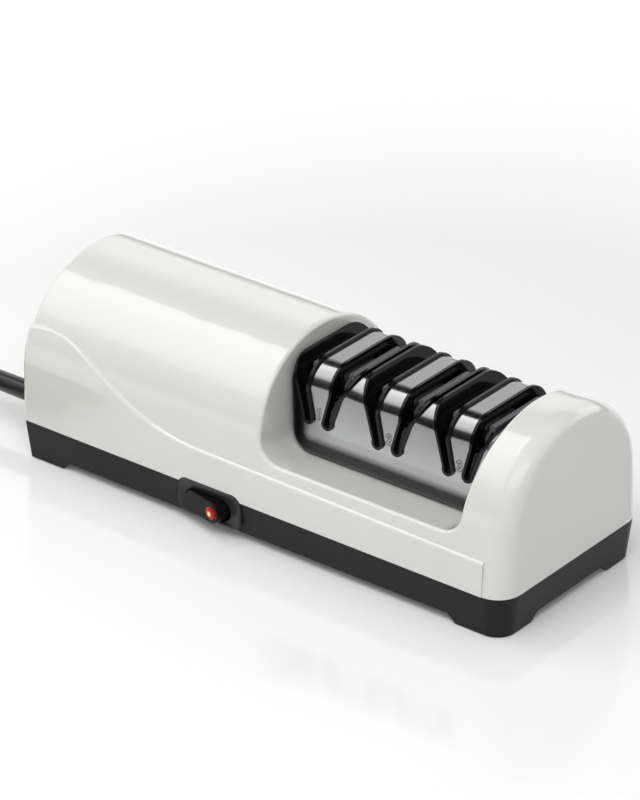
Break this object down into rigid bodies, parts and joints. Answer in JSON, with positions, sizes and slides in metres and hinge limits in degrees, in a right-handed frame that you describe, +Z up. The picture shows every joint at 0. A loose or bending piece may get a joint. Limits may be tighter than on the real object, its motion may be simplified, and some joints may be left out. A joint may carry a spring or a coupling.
{
  "type": "electric knife sharpener",
  "caption": "Arched white bench-top knife sharpener on a black base, with a steel-covered module of slanted knife slots in a saddle recess, a rocker switch and a mains lead.",
  "frame": {"origin": "centre of the footprint of the four feet, on the table and on the housing's long symmetry plane", "axes": "+X along the spindle towards the sharpening module, -Y towards the switch side, +Z up"},
  "size_m": [0.4342, 0.1747, 0.092],
  "materials": {
    "housing_white": "pearl off-white moulded plastic, satin gloss",
    "base_black": "charcoal black moulded plastic, fine satin",
    "rubber_black": "matt black rubber",
    "cover_steel": "bright brushed stainless steel, fine grain along the length",
    "module_black": "glossy black moulded plastic",
    "arm_black": "dark grey satin plastic",
    "disc_abrasive": "fine abrasive coat on steel",
    "shaft_steel": "ground steel",
    "screw_steel": "zinc-plated steel",
    "lamination_steel": "stacked lamination steel",
    "winding_copper": "enamelled copper wire",
    "bracket_metal": "die-cast aluminium",
    "bush_bronze": "sintered bronze",
    "inner_plastic": "dark grey moulded plastic",
    "bezel_grey": "dark grey satin plastic",
    "rocker_black": "glossy black plastic",
    "lens_red": "red faceted lens, lit from behind",
    "terminal_brass": "brass strip",
    "lead_black": "black flexible PVC, satin",
    "tie_black": "black tie strap"
  },
  "bodies": {
    "case": {"base_tray": "base_black", "bush_end": "bush_bronze", "bush_front": "bush_bronze", "bush_rear": "bush_bronze", "case_screws": "screw_steel", "clamp_screws": "screw_steel", "cord_clamp": "inner_plastic", "cord_coil": "lead_black", "cord_tie": "tie_black", "field_coils": "winding_copper", "foot_pads": "rubber_black", "guide_pins": "screw_steel", "main_housing": "housing_white", "module_body": "module_black", "module_screws": "screw_steel", "motor_bracket_front": "bracket_metal", "motor_bracket_rear": "bracket_metal", "motor_screws": "screw_steel", "plug_blades": "terminal_brass", "plug_body": "lead_black", "power_cord_lead": "lead_black", "power_cord_tail": "lead_black", "stator_stack": "lamination_steel", "steel_cover": "cover_steel", "strain_relief": "lead_black", "switch_bezel": "bezel_grey", "switch_body": "rocker_black", "switch_terminals": "terminal_brass"},
    "spindle": {"drive_shaft": "shaft_steel", "retaining_rings": "shaft_steel", "drive_pins": "shaft_steel", "rotor_core": "lamination_steel", "cooling_fan": "inner_plastic", "disc_spring_coarse": "shaft_steel", "disc_spring_fine": "shaft_steel", "disc_spring_polish": "shaft_steel"},
    "rocker": {"switch_rocker": "rocker_black", "switch_lens": "lens_red"},
    "disc_coarse_left": {"disc_coarse_left": "disc_abrasive"},
    "disc_coarse_right": {"disc_coarse_right": "disc_abrasive"},
    "disc_fine_left": {"disc_fine_left": "disc_abrasive"},
    "disc_fine_right": {"disc_fine_right": "disc_abrasive"},
    "disc_polish_left": {"disc_polish_left": "disc_abrasive"},
    "disc_polish_right": {"disc_polish_right": "disc_abrasive"},
    "guide_arm_coarse_left": {"guide_arm_coarse_left": "arm_black"},
    "guide_arm_coarse_right": {"guide_arm_coarse_right": "arm_black"},
    "guide_arm_fine_left": {"guide_arm_fine_left": "arm_black"},
    "guide_arm_fine_right": {"guide_arm_fine_right": "arm_black"},
    "guide_arm_polish_left": {"guide_arm_polish_left": "arm_black"},
    "guide_arm_polish_right": {"guide_arm_polish_right": "arm_black"}
  },
  "joints": [
    {"name": "spindle_spin", "type": "hinge", "parent": "case", "child": "spindle", "pos_m": [0, 0, 0.048], "axis": [1, 0, 0], "continuous": true},
    {"name": "rocker_tilt", "type": "hinge", "parent": "case", "child": "rocker", "pos_m": [-0.0274, -0.0502, 0.0127], "axis": [0, 0, 1], "range_deg": [0, 24]},
    {"name": "disc_coarse_left_slide", "type": "slide", "parent": "spindle", "child": "disc_coarse_left", "axis": [1, 0, 0], "range_m": [0, 0.0009], "stiffness_N_per_m": 400, "springref_m": -0.008, "deforming": ["disc_spring_coarse"]},
    {"name": "disc_coarse_right_slide", "type": "slide", "parent": "spindle", "child": "disc_coarse_right", "axis": [-1, 0, 0], "range_m": [0, 0.0009], "stiffness_N_per_m": 400, "springref_m": -0.008},
    {"name": "disc_fine_left_slide", "type": "slide", "parent": "spindle", "child": "disc_fine_left", "axis": [1, 0, 0], "range_m": [0, 0.0009], "stiffness_N_per_m": 400, "springref_m": -0.008, "deforming": ["disc_spring_fine"]},
    {"name": "disc_fine_right_slide", "type": "slide", "parent": "spindle", "child": "disc_fine_right", "axis": [-1, 0, 0], "range_m": [0, 0.0009], "stiffness_N_per_m": 400, "springref_m": -0.008},
    {"name": "disc_polish_left_slide", "type": "slide", "parent": "spindle", "child": "disc_polish_left", "axis": [1, 0, 0], "range_m": [0, 0.0009], "stiffness_N_per_m": 400, "springref_m": -0.008, "deforming": ["disc_spring_polish"]},
    {"name": "disc_polish_right_slide", "type": "slide", "parent": "spindle", "child": "disc_polish_right", "axis": [-1, 0, 0], "range_m": [0, 0.0009], "stiffness_N_per_m": 400, "springref_m": -0.008},
    {"name": "guide_arm_coarse_left_swing", "type": "hinge", "parent": "case", "child": "guide_arm_coarse_left", "pos_m": [0.013, 0, 0.07], "axis": [0, 1, 0], "range_deg": [0, 5], "stiffness_Nm_per_rad": 0.05, "springref_deg": -17.19},
    {"name": "guide_arm_coarse_right_swing", "type": "hinge", "parent": "case", "child": "guide_arm_coarse_right", "pos_m": [0.021, 0, 0.07], "axis": [0, 1, 0], "range_deg": [-5, 0], "stiffness_Nm_per_rad": 0.05, "springref_deg": 17.19},
    {"name": "guide_arm_fine_left_swing", "type": "hinge", "parent": "case", "child": "guide_arm_fine_left", "pos_m": [0.0516, 0, 0.07], "axis": [0, 1, 0], "range_deg": [0, 5], "stiffness_Nm_per_rad": 0.05, "springref_deg": -17.19},
    {"name": "guide_arm_fine_right_swing", "type": "hinge", "parent": "case", "child": "guide_arm_fine_right", "pos_m": [0.0596, 0, 0.07], "axis": [0, 1, 0], "range_deg": [-5, 0], "stiffness_Nm_per_rad": 0.05, "springref_deg": 17.19},
    {"name": "guide_arm_polish_left_swing", "type": "hinge", "parent": "case", "child": "guide_arm_polish_left", "pos_m": [0.0902, 0, 0.07], "axis": [0, 1, 0], "range_deg": [0, 5], "stiffness_Nm_per_rad": 0.05, "springref_deg": -17.19},
    {"name": "guide_arm_polish_right_swing", "type": "hinge", "parent": "case", "child": "guide_arm_polish_right", "pos_m": [0.0982, 0, 0.07], "axis": [0, 1, 0], "range_deg": [-5, 0], "stiffness_Nm_per_rad": 0.05, "springref_deg": 17.19}
  ]
}
